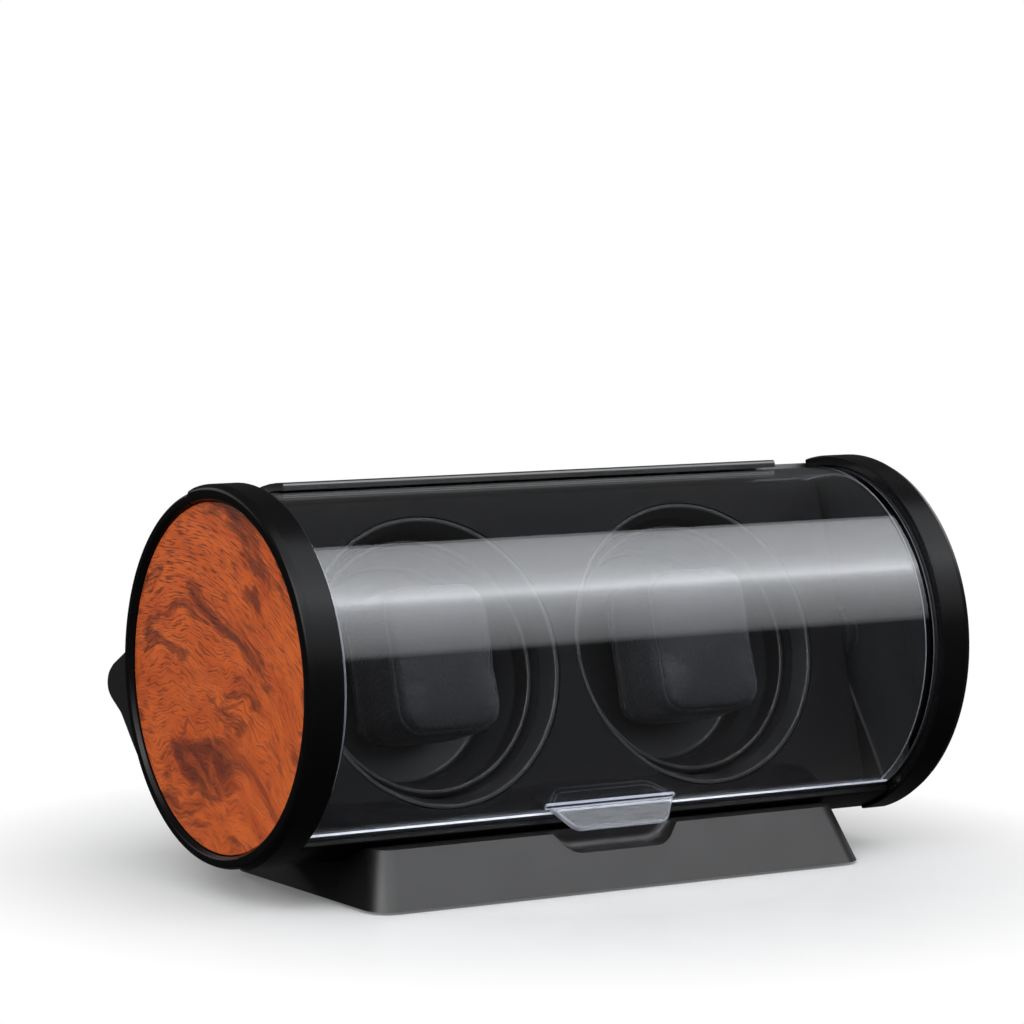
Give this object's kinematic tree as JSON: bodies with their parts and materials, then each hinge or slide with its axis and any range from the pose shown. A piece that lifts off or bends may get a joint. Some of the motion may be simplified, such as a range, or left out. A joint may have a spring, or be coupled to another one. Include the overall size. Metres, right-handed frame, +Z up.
{
  "type": "watch winder box",
  "caption": "Horizontal cylinder watch winder on a low base, with a clear roll-top front cover, turning drums with watch cushions, and burl wood end discs.",
  "frame": {"origin": "on the table, under the middle of the whole box", "axes": "+X along the cylinder, to the right of a person facing the front; the front faces -Y; +Z up"},
  "size_m": [0.2586, 0.1436, 0.134],
  "materials": {
    "clear_acrylic": "clear polished acrylic with light scuffs",
    "satin_black": "satin black lacquered plastic",
    "matt_black": "matt black moulded plastic",
    "burl_wood": "satin-lacquered reddish burl veneer",
    "steel": "plain machined steel",
    "foot_rubber": "matt rubber",
    "belt_rubber": "moulded rubber",
    "nylon": "natural nylon",
    "circuit_board": "green solder mask",
    "cushion_leather": "fine-grained black leatherette"
  },
  "bodies": {
    "root": {"pivot_pin_left": "steel", "pivot_pin_right": "steel", "end_plate_left": "satin_black", "end_plate_right": "satin_black", "wood_disc_left": "burl_wood", "wood_disc_right": "burl_wood", "front_rim_left": "satin_black", "front_rim_right": "satin_black", "rear_rim_left": "satin_black", "rear_rim_right": "satin_black", "rear_shell": "satin_black", "control_plate": "matt_black", "dc_inlet": "matt_black", "base_front": "satin_black", "base_rear": "satin_black", "bottom_plate": "matt_black", "front_sill": "satin_black", "housing_saddle": "matt_black", "base_screw_front_left": "steel", "base_screw_front_right": "steel", "base_screw_rear_left": "steel", "base_screw_rear_right": "steel", "foot_front_left": "foot_rubber", "foot_front_right": "foot_rubber", "foot_rear_left": "foot_rubber", "foot_rear_right": "foot_rubber", "inner_housing": "matt_black", "front_panel": "matt_black", "bezel_ring_left": "satin_black", "bezel_ring_right": "satin_black", "drum_bearing_left": "nylon", "drum_bearing_right": "nylon", "motor_left": "steel", "motor_right": "steel", "drive_belt_left": "belt_rubber", "drive_belt_right": "belt_rubber", "drive_chassis": "matt_black", "control_board": "circuit_board"},
    "cover": {"clear_cover": "clear_acrylic"},
    "turning_drum_left": {"drum_left": "satin_black", "drum_retainer_left": "steel"},
    "turning_drum_right": {"drum_right": "satin_black", "drum_retainer_right": "steel"},
    "cushion_left": {"watch_cushion_left": "cushion_leather"},
    "cushion_right": {"watch_cushion_right": "cushion_leather"},
    "pulley_left": {"motor_pulley_left": "nylon"},
    "pulley_right": {"motor_pulley_right": "nylon"},
    "knob_left": {"mode_knob_left": "satin_black"},
    "knob_right": {"mode_knob_right": "satin_black"}
  },
  "joints": [
    {"name": "cover_lift", "type": "hinge", "parent": "root", "child": "cover", "pos_m": [0, -0.00975, 0.072], "axis": [-1, 0, 0], "range_deg": [0, 115]},
    {"name": "drum_spin_left", "type": "hinge", "parent": "root", "child": "turning_drum_left", "pos_m": [-0.0519, -0.00997, 0.07128], "axis": [0, -0.9563, 0.2924], "continuous": true},
    {"name": "drum_spin_right", "type": "hinge", "parent": "root", "child": "turning_drum_right", "pos_m": [0.0519, -0.00997, 0.07128], "axis": [0, -0.9563, 0.2924], "continuous": true},
    {"name": "motor_spin_left", "type": "hinge", "parent": "root", "child": "pulley_left", "pos_m": [-0.0108, -0.01829, 0.04408], "axis": [0, -0.9563, 0.2924], "continuous": true},
    {"name": "motor_spin_right", "type": "hinge", "parent": "root", "child": "pulley_right", "pos_m": [0.0108, -0.01829, 0.04408], "axis": [0, -0.9563, 0.2924], "continuous": true},
    {"name": "cushion_pull_left", "type": "slide", "parent": "turning_drum_left", "child": "cushion_left", "axis": [0, -0.9563, 0.2924], "range_m": [0, 0.02]},
    {"name": "cushion_pull_right", "type": "slide", "parent": "turning_drum_right", "child": "cushion_right", "axis": [0, -0.9563, 0.2924], "range_m": [0, 0.02]},
    {"name": "mode_turn_left", "type": "hinge", "parent": "root", "child": "knob_left", "pos_m": [-0.036, 0.065, 0.0609], "axis": [0, 1, 0], "range_deg": [0, 270]},
    {"name": "mode_turn_right", "type": "hinge", "parent": "root", "child": "knob_right", "pos_m": [0.036, 0.065, 0.0609], "axis": [0, 1, 0], "range_deg": [0, 270]}
  ],
  "couplings": [
    {"joint": "motor_spin_left", "follows": "drum_spin_left", "ratio": 8.8889},
    {"joint": "motor_spin_right", "follows": "drum_spin_right", "ratio": 8.8889}
  ]
}
